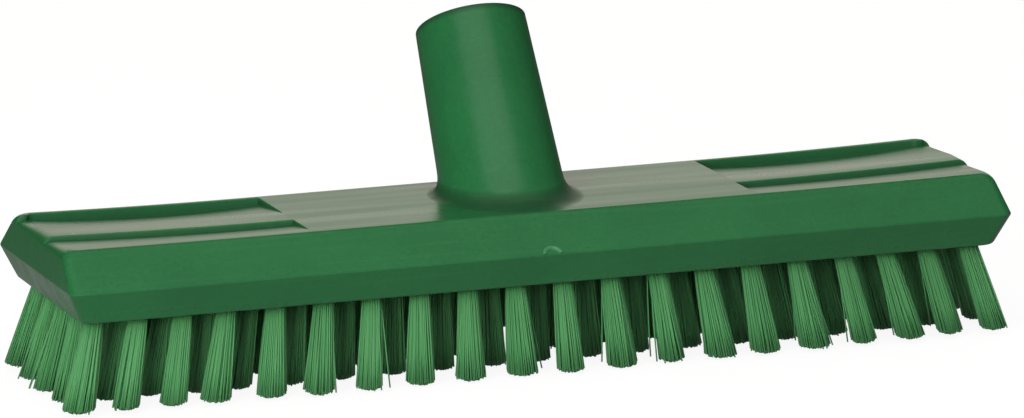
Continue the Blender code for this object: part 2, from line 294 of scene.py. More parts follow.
def topProfile(x, edgeY):
    # the grip steps' lines at x, from front to rear, as (y, height, how worn it is, with painted shade below
    # zero)
    share = gripShare(x)
    sink = min(1, max(0, (abs(x) - grip["start"]) / grip["endDraft"]))
    sink = sink * sink * (3 - 2 * sink)
    crest = -topHalfWidth * grip["middleCrestShare"] + grip["middleCrestSweep"] * share * share
    rim = edgeY - grip["rearRim"]
    frontFloor, rearFloor = -topHalfWidth * grip["frontFloorShare"], topHalfWidth * grip["rearFloorShare"]
    start = (frontFloor, topHeight(x, frontFloor))
    middle = (rearFloor, topHeight(x, rearFloor))
    lines = [start]
    for wall, depths, floorLine, crestEnd in (
        (crest, grip["middleDepths"], start, middle),
        (rim, grip["rearDepths"], middle, (edgeY, topHeight(x, edgeY))),
    ):
        low = (wall - grip["wallDraft"], topHeight(x, wall) - swell(depths, share) * sink)
        high = (wall, topHeight(x, wall))
        lines += roundedWall(floorLine, low, high, crestEnd)
        if wall == crest:
            lines.append(middle)
    # painted shade darkens the steps' end walls where they are deep
    endWall = 4 * sink * (1 - sink) / grip["shadeDepth"]
    depths = [topHeight(x, y) - height for y, height in lines]
    rubsAndShades = zip(lines, grip["wearAndPaintedLight"] * 2, depths)
    return [(*line, rubAndShade * sink - min(1, depth * endWall)) for line, rubAndShade, depth in rubsAndShades]


def sidePlaces():
    # up to where the roundest corner begins, so that no ring folds over itself
    last = halfLength - block["bottomEndInset"] - block["bottomCorner"] - 2 * block["edgeRound"]
    first = grip["start"] + grip["endDraft"]
    right = [grip["start"] + share * grip["endDraft"] for share in grip["draftShares"]]
    right += [first + step / grip["runSteps"] * (last - first) for step in range(1, grip["runSteps"] + 1)]
    return [-x for x in reversed(right)] + right


def endLines():
    length, width = topHalfLength - block["endRound"], topHalfWidth - block["edgeRound"]
    return topProfile(length, width - block["topCorner"])


def outline(length, width, radius):
    # a rounded rectangle, counter-clockwise from the front's left point
    straight, level = length - radius, width - radius
    side, end = sidePlaces(), [line[0] for line in endLines()]

    def arc(centreX, centreY, start):
        turns = [start + step / block["cornerSteps"] * math.pi / 2 for step in range(block["cornerSteps"] + 1)]
        return [(centreX + radius * math.cos(turn), centreY + radius * math.sin(turn)) for turn in turns]

    points = [(x, -width) for x in side] + arc(straight, -level, -math.pi / 2)
    points += [(length, y) for y in end] + arc(straight, level, 0)
    points += [(x, width) for x in reversed(side)] + arc(-straight, level, math.pi / 2)
    points += [(-length, y) for y in reversed(end)] + arc(-straight, -level, math.pi)
    return points


def withEnds(values, end):
    # a ring's values with those of both ends put in
    rightEnd = len(sidePlaces()) + block["cornerSteps"] + 1
    leftEnd = rightEnd + len(values) // 2
    values[rightEnd : rightEnd + len(end)] = end
    values[leftEnd : leftEnd + len(end)] = reversed(end)
    return values


def edgeHeights(withSteps):
    points = outline(topHalfLength - block["endRound"], topHalfWidth - block["edgeRound"], block["topCorner"])
    heights = [topHeight(x, y) for x, y in points]
    return withEnds(heights, [line[1] for line in endLines()]) if withSteps else heights


def roundInset(radius, drop):
    # how far a rounded edge has drawn in at a place below the top's own edge
    return radius - math.sqrt(radius**2 - (radius - min(drop, radius)) ** 2)


def upperRing(drop):
    # on the sloped sides and the rounds above them; the steps at the ends die out down the round
    endInset, sideInset = roundInset(block["endRound"], drop), roundInset(block["edgeRound"], drop)
    fade = drop / block["endRound"]
    ring, shapes = [], {}
    for number, (height, plainHeight) in enumerate(zip(edgeHeights(True), edgeHeights(False))):
        z = round(height + (plainHeight - height) * fade - drop, 7)
        if z not in shapes:
            slope = (block["upperHeight"] - z) / block["upperHeight"]
            radius = block["topCorner"] + (block["widestCorner"] - block["topCorner"]) * max(0, slope)
            length = topHalfLength + block["topEndInset"] * slope - endInset
            shapes[z] = outline(length, topHalfWidth + block["topSideInset"] * slope - sideInset, radius)
        ring.append((*shapes[z][number], z))
    return ring


def lowerRing(inset, rise):
    slope = 1 - rise / block["lowerHeight"]
    length = halfLength - block["bottomEndInset"] * slope - inset
    width = halfWidth - block["bottomSideInset"] * slope - inset
    z = rise - block["lowerHeight"]
    return [(x, y, z) for x, y in outline(length, width, block["bottomCorner"])]


def widestRing(out, z):
    return [(x, y, z) for x, y in outline(halfLength + out, halfWidth + out, block["widestCorner"])]


def socketPoint(reach, radius, angle):
    return foot + axis * reach + (Vector((1, 0, 0)) * math.cos(angle) + along * math.sin(angle)) * radius


def socketRadius(reach):
    return socket["baseRadius"] + (socket["topRadius"] - socket["baseRadius"]) * reach / socket["length"]


def flareRings(angles):
    # the quick curve from the top's flat up into the socket's side, tangent to both
    slope = (socket["baseRadius"] - socket["topRadius"]) / socket["length"]
    feet, bends, uppers = [], [], []
    for angle in angles:
        side = math.sin(angle) * math.sin(socket["lean"])
        crossing = socket["baseRadius"] * side / (math.cos(socket["lean"]) + slope * side)
        upper = crossing + socket["flareUp"]
        bends.append(socketPoint(crossing, socketRadius(crossing), angle))
        uppers.append(socketPoint(upper, socketRadius(upper), angle))
    edge = topHalfWidth - socket["flareMargin"]
    frontReach = edge + min(bend.y for bend in bends)
    rearReach = edge - max(bend.y for bend in bends)
    for angle, bend in zip(angles, bends):
        target = frontReach if math.sin(angle) < 0 else rearReach
        reach = socket["flareSide"] + (target - socket["flareSide"]) * math.sin(angle) ** 2
        feet.append(bend + Vector((math.cos(angle), math.sin(angle), 0)) * reach)
    rings = []
    for step in range(socket["flareSteps"] + 1):
        share = step / socket["flareSteps"]
        early, middle, late = (1 - share) ** 2, 2 * share * (1 - share), share * share
        curve = zip(feet, bends, uppers)
        rings.append([low * early + bend * middle + high * late for low, bend, high in curve])
    return rings


def buildBlock():
    points, wearAndPaintedLight, faces = [], [], []

    def addRing(ring, rubAndShade=0):
        points.extend(Vector(point) for point in ring)
        wearAndPaintedLight.extend(rubAndShade if isinstance(rubAndShade, list) else [rubAndShade] * len(ring))
        return list(range(len(points) - len(ring), len(points)))

    def addUpperRing(drop, rubAndShade):
        ring = upperRing(drop)
        fade = 1 - drop / block["endRound"]
        rings.append(addRing(ring, withEnds([rubAndShade] * len(ring), [line[2] * fade for line in endLines()])))

    def bridge(run):
        for low, high in zip(run, run[1:]):
            for step in range(len(low)):
                after = (step + 1) % len(low)
                faces.append((low[step], low[after], high[after], high[step]))

    def fill(*loops):
        # a flat face with holes in it, as triangles
        numbers = [number for loop in loops for number in loop]
        for triangle in tessellate_polygon([[points[number] for number in loop] for loop in loops]):
            faces.append(tuple(numbers[corner] for corner in triangle))

    # the outside, from the underside's edge up to the top's edge
    shares = [step / block["roundSteps"] for step in range(block["roundSteps"] + 1)]
    size, flat = block["edgeRound"], block["partingFlat"]
    ridge, rubAndShade = block["partingRidge"], block["partingWear"]
    rings = []
    for share in shares:
        ring = lowerRing(size * (1 - share) ** 2, size * share**2)
        rings.append(addRing(ring, math.sin(share * math.pi) * block["bottomWear"]))
    for out, z, worn in ((0, -flat / 2, 0), (ridge, -flat / 8, rubAndShade), (ridge, flat / 8, rubAndShade), (0, flat / 2, 0)):
        rings.append(addRing(widestRing(out, z), worn))
    for step in range(block["endRoundSteps"]):
        turn = step / block["endRoundSteps"] * math.pi / 2
        drop = block["endRound"] * (1 - math.sin(turn))
        if drop > size:
            addUpperRing(drop, 0)
    for share in shares:
        drop = size * (1 - math.sin(share * math.pi / 2))
        addUpperRing(drop, math.sin(share * math.pi) * block["topWear"])
    bridge(rings)

    # the top: lines across it from front to rear, with the grip steps in them
    edge = rings[-1]
    sideCount, lineCount, arcCount = len(sidePlaces()), len(endLines()), block["cornerSteps"] + 1
    parts, start = [], 0
    for count in (sideCount, arcCount, lineCount, arcCount) * 2:
        parts.append(edge[start : start + count])
        start += count
    front, frontRight, endRight, rearRight, rear, rearLeft, endLeft, frontLeft = parts
    fronts = frontLeft + front + frontRight
    rears = rearLeft[::-1] + rear[::-1] + rearRight[::-1]
    columns = [[fronts[0], *endLeft[::-1], rears[0]]]
    for low, high in list(zip(fronts, rears))[1:-1]:
        lowPoint, highPoint = points[low], points[high]
        column = [low]
        for y, height, rubAndShade in topProfile(highPoint.x, highPoint.y):
            share = (y - lowPoint.y) / (highPoint.y - lowPoint.y)
            column += addRing([(lowPoint.x + (highPoint.x - lowPoint.x) * share, y, height)], rubAndShade)
        columns.append(column + [high])
    columns.append([fronts[-1], *endRight, rears[-1]])
    middle = len(columns) // 2
    for number, (left, right) in enumerate(zip(columns, columns[1:]), start=1):
        if number != middle:
            for line in range(len(left) - 1):
                faces.append((left[line], right[line], right[line + 1], left[line + 1]))

    # the socket: flare, side, rim, mouth, bore
    angles = [step / socket["around"] * math.tau for step in range(socket["around"])]
    tube = []
    for step, ring in enumerate(flareRings(angles)):
        # painted shade across the flare, fading out at its foot and at its top
        fade = math.sin(math.pi * min(1, step / socket["flareShadeSteps"])) ** socket["flareShadeEase"]
        tube.append(addRing(ring, socket["flareShade"] * fade))
    fill(columns[middle - 1] + columns[middle][::-1], tube[0])
    straight = socket["length"] - socket["rimShadeDrop"]
    lastFlare = [(points[number] - foot).dot(axis) for number in tube[-1]]
    for step in range(1, socket["sideSteps"] + 1):
        share = step / socket["sideSteps"]
        reaches = [first + (straight - first) * share for first in lastFlare]
        places = zip(reaches, angles)
        tube.append(addRing([socketPoint(reach, socketRadius(reach), angle) for reach, angle in places]))
    turned = []
    # the rim's round, darkened with painted shade
    for step in range(socket["rimSteps"] + 1):
        turn = step / socket["rimSteps"] * math.pi / 2
        reach = socket["length"] - socket["rimRound"] * (1 - math.sin(turn))
        radius = socket["topRadius"] - socket["rimRound"] * (1 - math.cos(turn))
        turned.append((reach, radius, socket["rimShade"]))
    rim, mouth, seat = socket["length"], socket["mouthRadius"], socket["length"] - socket["boreDepth"]
    chamfer, (down, out), bend = socket["mouthChamfer"], socket["chamferMiddle"], socket["seatRound"]
    turned += [
        (rim, mouth + chamfer, socket["mouthWear"]),
        (rim - chamfer * down, mouth + chamfer * out, socket["mouthWear"]),
        (rim - chamfer, mouth, socket["insideWear"]),
        (seat + bend, socket["seatRadius"], 0),
        (seat, socket["seatRadius"] - bend, 0),
    ]
    for reach, radius, worn in turned:
        tube.append(addRing([socketPoint(reach, radius, angle) for angle in angles], worn))
    bridge(tube)

    # the outlet: from the bore's slanted seat straight down to the underside
    radius, bend, share = socket["outletRadius"], socket["outletRound"], socket["outletMiddle"]
    seatMiddle, rise, floor = foot + axis * seat, math.tan(socket["lean"]), -block["lowerHeight"]
    circle = unitCircle(socket["outletSteps"])
    top = [(x * radius, y * radius, seatMiddle.z - (y * radius - seatMiddle.y) * rise) for x, y in circle]
    outlet = [addRing(top, socket["seatWear"])]
    for out, up, worn in ((0, 1, 0), (share, share, socket["mouthWear"]), (1, 0, socket["insideWear"])):
        reach = radius + bend * out
        outlet.append(addRing([(x * reach, y * reach, floor + bend * up) for x, y in circle], worn))
    bridge(outlet)
    fill(tube[-1], outlet[0])

    # the underside, drilled for the tufts
    holes, circle = [], unitCircle(tufts["holeSteps"])
    for row in range(len(tufts["rows"])):
        for x, y in tuftPlaces(row):
            ring = [(x + tufts["holeRadius"] * right, y + tufts["holeRadius"] * back) for right, back in circle]
            # painted shade inside each hole and a little at its edge
            holes.append(addRing([(*point, floor) for point in ring], tufts["holeEdgeShade"]))
            deep = addRing([(*point, floor + tufts["holeDepth"]) for point in ring], tufts["holeShade"])
            bridge([holes[-1], deep])
            faces.append(tuple(deep))
    fill(rings[0], outlet[-1], *holes)

    piece = meshObject("block_moulding", [point + toFrame for point in points], faces)
    storeValues(piece.data, "wearShadeHighlight", wearAndPaintedLight)
    piece.data.set_sharp_from_angle(angle=block["smoothAngle"])
    even = piece.modifiers.new("even normals", "WEIGHTED_NORMAL")
    even.keep_sharp = True
    even.weight = block["normalWeight"]
    return applied(piece)


blockPiece = buildBlock()
print("block:", len(blockPiece.data.polygons), "faces")


# Finishes

def newMaterial(name):
    # a material, its shader, what adds nodes to it, and the place on the piece
    material = bpy.data.materials.new(name)
    material.use_nodes = True
    tree = material.node_tree
    add = partial(addNode, tree)
    return material, tree.nodes["Principled BSDF"], add, add("ShaderNodeTexCoord").outputs["Object"]


blockFinish = {
    "green": "#246D3C",
    "greenDeep": "#1F6336",
    "greenPale": "#6BA578",
    # painted shade, for the grip steps' corners and deep walls, the holes, the socket's rim and its flare
    "paintedShade": "#143D22",
    "dust": "#A9C2AC",
    "ior": 1.49,
    "toneSize": 0.030,  # broad, faint cloudiness of the pigment
    "toneRange": (0.35, 0.65),
    "toneMottle": 0.4,
    "mottleSize": 0.0014,
    "patchesPerMetre": 220,  # where the rubbing of the edges is broken up
    "patchRange": (0.38, 0.66),
    "patchLeast": 0.35,
    "wearAndHighlightShare": 0.22,
    "paintedShadeShare": 0.8,
    "grainSize": 0.0008,  # a spark-eroded mould is finer, about 0.1 mm; this is coarse enough to show
    "grainHeight": 0.000004,
    "scratch": (0.040, 0.0011),  # length and width
    "scratchRange": (0.66, 0.74),
    "scratchShare": 0.025,
    "flow": (0.090, 0.0065),
    "flowRange": (0.34, 0.66),
    "flowMottle": 0.12,
    "dustSpacing": 0.017,
    "dustRange": (0.035, 0.020),  # in shares of the spacing
    "dustLack": 0.55,  # the share of places that stay clean
    "dustShare": 0.5,
    "roughness": (0.26, 0.34),
    "wearRoughness": -0.09,
    "paintedShadeRoughness": 0.2,
}

bristleFinish = {
    "light": "#5CA065",
    "dark": "#4B9256",
    # painted shade towards the root, where the block and the other tufts would shade the filaments
    "root": "#2C6135",
    "rootRange": (0.22, 0.04),  # in shares of a filament's length, as the cut's range is
    "rootShare": 0.25,
    "cut": "#64A36D",
    "cutRange": (0.95, 1.0),
    "cutShare": 0.5,
    "streakSize": 0.0006,
    "streakShare": 0.25,
    "streakStrength": 0.4,
    "streakHeight": 0.00003,
    "roughness": (0.35, 0.49),
}


def mouldedPolypropylene():
    # polypropylene injection moulded in a spark-eroded tool: an even satin green that goes pale and grey
    # only where it is seen at a low angle, with rubbed edges, a little dust, painted shade in its hollows and a
    # painted highlight on the gate mark
    finish = blockFinish
    material, shader, add, place = newMaterial("moulded polypropylene, satin green")
    noise = {}
    for name, scale, detail in (
        ("tone", 1 / finish["toneSize"], 3),
        ("mottle", 1 / finish["mottleSize"], 2),
        ("patch", finish["patchesPerMetre"], 4),
        ("grain", 1 / finish["grainSize"], 2),
    ):
        noise[name] = add("ShaderNodeTexNoise", {"Scale": scale, "Detail": detail, "Vector": place})
    for name, detail in (("scratch", 0), ("flow", 1.5)):
        # streaks that run along the block
        length, width = finish[name]
        stretch = add("ShaderNodeMapping", {"Scale": (1 / length, 1 / width, 1 / width), "Vector": place})
        noise[name] = add("ShaderNodeTexNoise", {"Scale": 1, "Detail": detail, "Vector": stretch})

    for name in ("tone", "flow"):
        factor = finish[name + "Mottle"]
        noise[name] = add("ShaderNodeMix", {"Factor": factor, 2: noise[name], 3: noise["mottle"]})
    cells = add("ShaderNodeTexVoronoi", {"Scale": 1 / finish["dustSpacing"], "Vector": place}).outputs
    noise["dust"] = cells["Distance"]
    targets = {"patch": (finish["patchLeast"], 1), "flow": finish["roughness"]}
    for name in ("tone", "patch", "scratch", "flow", "dust"):
        (first, last), (low, high) = finish[name + "Range"], targets.get(name, (0, 1))
        noise[name] = add("ShaderNodeMapRange", {
            "From Min": first, "From Max": last, "To Min": low, "To Max": high, "Value": noise[name]})

    # rubbed edges, broken up so that they don't read as a drawn line, and painted shade in the corners and
    # hollows
    rubAndShade = add("ShaderNodeAttribute", attribute_name="wearShadeHighlight").outputs["Fac"]
    wearAndPaintedLight = add(mathNode, {0: rubAndShade, 1: noise["patch"]}, operation="MULTIPLY")
    shadeMask = add("ShaderNodeMapRange", {"From Max": -1, "To Max": finish["paintedShadeShare"], "Value": rubAndShade})

    # some of the cells hold a speck of pale dust
    some = add(mathNode, {0: cells["Color"], 1: finish["dustLack"]}, operation="GREATER_THAN")
    dusty = add(mathNode, {0: noise["dust"], 1: some}, operation="MULTIPLY")

    # the pigment, a little uneven, and over it painted shade, rubbed edges with a painted highlight on the gate
    # mark, fine scratches and dust
    colour = add("ShaderNodeMix", {
        0: noise["tone"], 6: linear(finish["greenDeep"]), 7: linear(finish["green"])}, data_type="RGBA")
    for name, share, most in (
        ("paintedShade", shadeMask, None), ("greenPale", wearAndPaintedLight, "wearAndHighlightShare"),
        ("greenPale", noise["scratch"], "scratchShare"), ("dust", dusty, "dustShare"),
    ):
        if most:
            share = add(mathNode, {0: share, 1: finish[most]}, operation="MULTIPLY")
        tint = linear(finish[name])
        colour = add("ShaderNodeMix", {0: share, 6: colour.outputs[2], 7: tint}, data_type="RGBA")

    # smoother where it is rubbed, rougher under the painted shade
    polish = add(mathNode, {0: wearAndPaintedLight, 1: finish["wearRoughness"]}, operation="MULTIPLY")
    rough = add(mathNode, {0: noise["flow"], 1: polish}, operation="ADD")
    rough = add(mathNode, {0: shadeMask, 1: finish["paintedShadeRoughness"], 2: rough}, operation="MULTIPLY_ADD")
    bump = add("ShaderNodeBump", {"Strength": 1, "Distance": finish["grainHeight"], "Height": noise["grain"]})
    setSockets(shader, {
        "Base Color": colour.outputs[2], "Roughness": rough, "Normal": bump, "IOR": finish["ior"]})
    return material


def extrudedPolyester():
    # polyester drawn into filament and cut square: each one a slightly different green, with painted shade
    # towards its root, and paler at its cut tip
    finish = bristleFinish
    material, shader, add, place = newMaterial("extruded polyester filament, green")
    shade = add("ShaderNodeAttribute", attribute_name="filamentShade").outputs["Fac"]
    reach = add("ShaderNodeAttribute", attribute_name="filamentShare").outputs["Fac"]
    streak = add("ShaderNodeTexNoise", {"Scale": 1 / finish["streakSize"], "Detail": 1, "Vector": place})
    vary = add("ShaderNodeMix", {"Factor": finish["streakShare"], 2: shade, 3: streak})
    colour = add("ShaderNodeMix", {
        0: vary, 6: linear(finish["dark"]), 7: linear(finish["light"])}, data_type="RGBA")
    for name in ("root", "cut"):
        first, last = finish[name + "Range"]
        share = add("ShaderNodeMapRange", {
            "From Min": first, "From Max": last, "To Max": finish[name + "Share"], "Value": reach})
        tint = linear(finish[name])
        colour = add("ShaderNodeMix", {0: share, 6: colour.outputs[2], 7: tint}, data_type="RGBA")
    low, high = finish["roughness"]
    rough = add("ShaderNodeMapRange", {"To Min": low, "To Max": high, "Value": streak})
    bump = add("ShaderNodeBump", {
        "Strength": finish["streakStrength"], "Distance": finish["streakHeight"], "Height": streak})
    setSockets(shader, {"Base Color": colour.outputs[2], "Roughness": rough, "Normal": bump})
    return material


polypropylene = mouldedPolypropylene()
polyester = extrudedPolyester()
blockPiece.data.materials.append(polypropylene)
print("finishes: done")


# Geometry Nodes: what the two trees share

def newTree(name, floats, wholes):
    # a tree, what adds nodes to it, and its named inputs as outputs inside it
    tree = bpy.data.node_groups.new(name, "GeometryNodeTree")
    inputs = [("Geometry", "Geometry")] + [(label, "Float") for label in floats]
    inputs += [(label, "Int") for label in wholes] + [("Material", "Material")]
    for label, kind in inputs:
        tree.interface.new_socket(label, in_out="INPUT", socket_type="NodeSocket" + kind)
    tree.interface.new_socket("Geometry", in_out="OUTPUT", socket_type="NodeSocketGeometry")
    add = partial(addNode, tree)
    return tree, add, add("NodeGroupInput").outputs


def grown(name, mesh, tree, values):
    # the tree's result as a plain mesh, in an object of that name
    piece = newObject(name, mesh)
    modifier = piece.modifiers.new(tree.name, "NODES")
    modifier.node_group = tree
    for item in tree.interface.items_tree:
        if item.in_out == "INPUT" and item.name in values:
            modifier[item.identifier] = values[item.name]
    return applied(piece)


# The handle thread: a coarse ridge that winds up the bore, swept along a spiral

thread = {
    "pitch": 0.0050,
    "height": 0.0009,
    "root": 0.0026,
    "crest": 0.0011,
    "bury": 0.0003,
    "aboveSeat": 0.0060,
    "belowRim": 0.0030,
    "stepsPerTurn": 72,
    "fade": 0.05,  # the share of the run over which each end dies into the wall
    "endScale": 0.02,
    "merge": 0.000001,
}


def threadTree():
    # its inputs are named as the dictionary's entries are
    tree, add, given = newTree("thread ridge", (
        "turns", "bottomRadius", "topRadius", "rise", "root", "crest", "height", "bury", "fade"),
        ("stepsPerTurn",))
    spiral = add("GeometryNodeCurveSpiral", {
        "Resolution": given["stepsPerTurn"], "Rotations": given["turns"], "Start Radius": given["bottomRadius"],
        "End Radius": given["topRadius"], "Height": given["rise"]})
    level = add("GeometryNodeSetCurveNormal", {"Curve": spiral}, mode="Z_UP")
    section = add("GeometryNodeCurvePrimitiveQuadrilateral", mode="POINTS")
    corners = (("bury", 1, "root", -0.5), ("height", -1, "crest", -0.5), ("height", -1, "crest", 0.5),
               ("bury", 1, "root", 0.5))
    for number, (reach, way, width, side) in enumerate(corners, start=1):
        across = add(mathNode, {0: given[reach], 1: way}, operation="MULTIPLY")
        up = add(mathNode, {0: given[width], 1: side}, operation="MULTIPLY")
        setSockets(section, {f"Point {number}": add("ShaderNodeCombineXYZ", {"X": across, "Y": up})})
    run = add("GeometryNodeSplineParameter").outputs["Factor"]
    rest = add(mathNode, {0: 1, 1: run}, operation="SUBTRACT")
    near = add(mathNode, {0: run, 1: rest}, operation="MINIMUM")
    fade = add("ShaderNodeMapRange", {
        "From Max": given["fade"], "To Min": thread["endScale"], "Value": near})
    sweep = add("GeometryNodeCurveToMesh", {
        "Curve": level, "Profile Curve": section, "Scale": fade, "Fill Caps": True})
    real = add("GeometryNodeRealizeInstances", {"Geometry": sweep})
    dressed = add("GeometryNodeSetMaterial", {"Geometry": real, "Material": given["Material"]})
    add("NodeGroupOutput", {"Geometry": dressed})
    return tree


def buildThread():
    seat = socket["length"] - socket["boreDepth"]
    low, high = seat + thread["aboveSeat"], socket["length"] - thread["belowRim"]

    def boreRadius(reach):
        share = (reach - seat) / (socket["length"] - socket["mouthChamfer"] - seat)
        return socket["seatRadius"] + (socket["mouthRadius"] - socket["seatRadius"]) * share

    piece = grown("handle_thread", bpy.data.meshes.new("handle_thread"), threadTree(), {
        **thread, "turns": (high - low) / thread["pitch"], "rise": high - low, "bottomRadius": boreRadius(low),
        "topRadius": boreRadius(high), "Material": polypropylene})
    turn = Matrix((Vector((1, 0, 0)), axis.cross(Vector((1, 0, 0))), axis)).transposed().to_4x4()
    turn.translation = foot + axis * low + toFrame
    piece.data.transform(turn)
    faceOutwards(piece.data, merge=thread["merge"])
    return piece


threadPiece = buildThread()
print("thread:", len(threadPiece.data.polygons), "faces")


# The gate mark: a half-round scar on the parting line, where the plastic was let into the mould

gate = {
    "x": 0.0003,
    "radius": 0.0031,
    "proud": 0.00028,
    "dish": 0.00016,
    "sink": 0.0003,
    "around": 24,
    "rings": (  # shares of the radius and of the height; the first is sunk into the slope
        (1.0, -1.0), (0.97, 0.0), (0.90, 0.75), (0.80, 1.0), (0.66, 0.85), (0.52, 0.1), (0.40, -0.25),
        (0.0, -0.3)),
    "leastShare": 0.02,
    # a painted highlight on the raised ring and painted shade in its dish
    "proudHighlight": 2.5,
    "dishShade": -0.4,
}


def buildGate():
    # laid out flat as (across, up the slope, out of it), then set on the front slope
    slopeUp = Vector((0, block["topSideInset"], block["upperHeight"])).normalized()
    out = Vector((0, -block["upperHeight"], block["topSideInset"])).normalized()
    origin = Vector((gate["x"], -halfWidth, block["partingFlat"] / 2)) + toFrame
    points, wearAndPaintedLight, faces = [], [], []
    count = gate["around"] + 1
    for share, lift in gate["rings"]:
        depth = gate["sink"] if share == 1.0 else gate["dish"]
        height = lift * (gate["proud"] if lift > 0 else depth)
        reach = gate["radius"] * max(share, gate["leastShare"])
        # a painted highlight where the ring stands proud, painted shade in the dish
        wearAndPaintedLight += [lift * gate["proudHighlight"] if lift > 0 else gate["dishShade"]] * count
        for step in range(count):
            turn = step / gate["around"] * math.pi
            across = Vector((reach * math.cos(turn), 0, 0))
            points.append(origin + across + slopeUp * reach * math.sin(turn) + out * height)
    for ring in range(len(gate["rings"]) - 1):
        for step in range(gate["around"]):
            low, high = ring * count + step, (ring + 1) * count + step
            faces.append((low, low + 1, high + 1, high))
    piece = meshObject("gate_mark", points, faces)
    if sum(face.normal.dot(out) for face in piece.data.polygons) < 0:
        piece.data.flip_normals()
    storeValues(piece.data, "wearShadeHighlight", wearAndPaintedLight)
    piece.data.materials.append(polypropylene)
    return piece


gatePiece = buildGate()
print("gate mark: done")


# The tufts: every filament by Geometry Nodes, from one point for each tuft

filament = {
    "count": 236,
    "radius": 0.00022,
    "sides": 5,
    "segments": 3,
    "rootRadius": 0.00245,
    "tipRadius": 0.0039,
    "rootDepth": 0.0016,
    "scatter": 0.00026,
    "ragged": 0.0007,
    "dome": 0.0010,  # how much shorter the outermost filaments of a tuft end
    "bow": 0.00022,
    "strayShare": 0.03,
    "strayReach": 0.0020,
    "leanSpread": 0.0007,  # how far a whole tuft's tip strays from its row
    "widthSpread": 0.13,
    "goldenTurn": 2.399963,
    "seed": 11,
    "rollStep": 977,  # between the seeds of a filament's three rolls
    "sliceStep": 31,  # between the seeds of the slices
}


